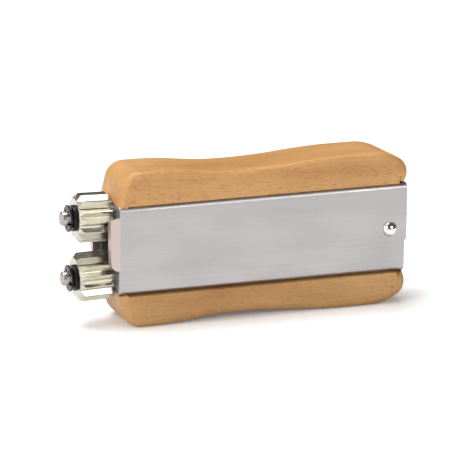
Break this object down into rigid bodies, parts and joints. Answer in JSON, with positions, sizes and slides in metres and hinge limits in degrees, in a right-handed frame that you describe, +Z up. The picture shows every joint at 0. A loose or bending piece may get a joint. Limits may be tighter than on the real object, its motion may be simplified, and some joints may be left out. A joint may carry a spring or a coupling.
{
  "type": "hive frame wire crimper",
  "caption": "Hand crimper for beehive frame wire: toothed wheels on stub axles, nested steel channels hinged on a pin, and beech handles.",
  "frame": {"origin": "centre of the bounding box at the surface the tool stands on", "axes": "+X from the toothed wheels to the hinge pin, +Y across the tool, +Z up from the lower handle to the upper one"},
  "size_m": [0.1522, 0.0346, 0.0679],
  "materials": {
    "beech": "oiled beech with fine lengthwise flecks",
    "sheet_steel": "satin zinc-plated sheet",
    "wheel_steel": "bright milled and plated",
    "black_steel": "blackened",
    "bright_steel": "polished",
    "spring_steel": "drawn",
    "plain_steel": "turned"
  },
  "bodies": {
    "lower_half": {"hinge_spacer": "plain_steel", "lower_axle": "plain_steel", "lower_axle_block": "plain_steel", "lower_channel": "sheet_steel", "lower_e_clip": "black_steel", "lower_handle": "beech", "lower_handle_screws": "plain_steel", "lower_spring_stud": "plain_steel", "lower_washers": "black_steel", "return_spring": "spring_steel"},
    "upper_half": {"hinge_pin": "bright_steel", "upper_axle": "plain_steel", "upper_axle_block": "plain_steel", "upper_channel": "sheet_steel", "upper_e_clip": "black_steel", "upper_handle": "beech", "upper_handle_screws": "plain_steel", "upper_spring_stud": "plain_steel", "upper_washers": "black_steel"},
    "upper_wheel": {"upper_crimping_wheel": "wheel_steel"},
    "lower_wheel": {"lower_crimping_wheel": "wheel_steel"}
  },
  "joints": [
    {"name": "handle_hinge", "type": "hinge", "parent": "lower_half", "child": "upper_half", "pos_m": [0.06715, 0, 0.034], "axis": [0, -1, 0], "range_deg": [0, 2.5], "stiffness_Nm_per_rad": 19, "springref_deg": -4.58, "deforming": ["return_spring"]},
    {"name": "upper_wheel_spin", "type": "hinge", "parent": "upper_half", "child": "upper_wheel", "pos_m": [-0.06328, 0, 0.046], "axis": [0.9999, 0, -0.0168], "continuous": true},
    {"name": "lower_wheel_spin", "type": "hinge", "parent": "lower_half", "child": "lower_wheel", "pos_m": [-0.06315, 0, 0.0207], "axis": [0.9996, 0, 0.0268], "continuous": true}
  ],
  "couplings": [
    {"joint": "lower_wheel_spin", "follows": "upper_wheel_spin", "ratio": -1}
  ]
}
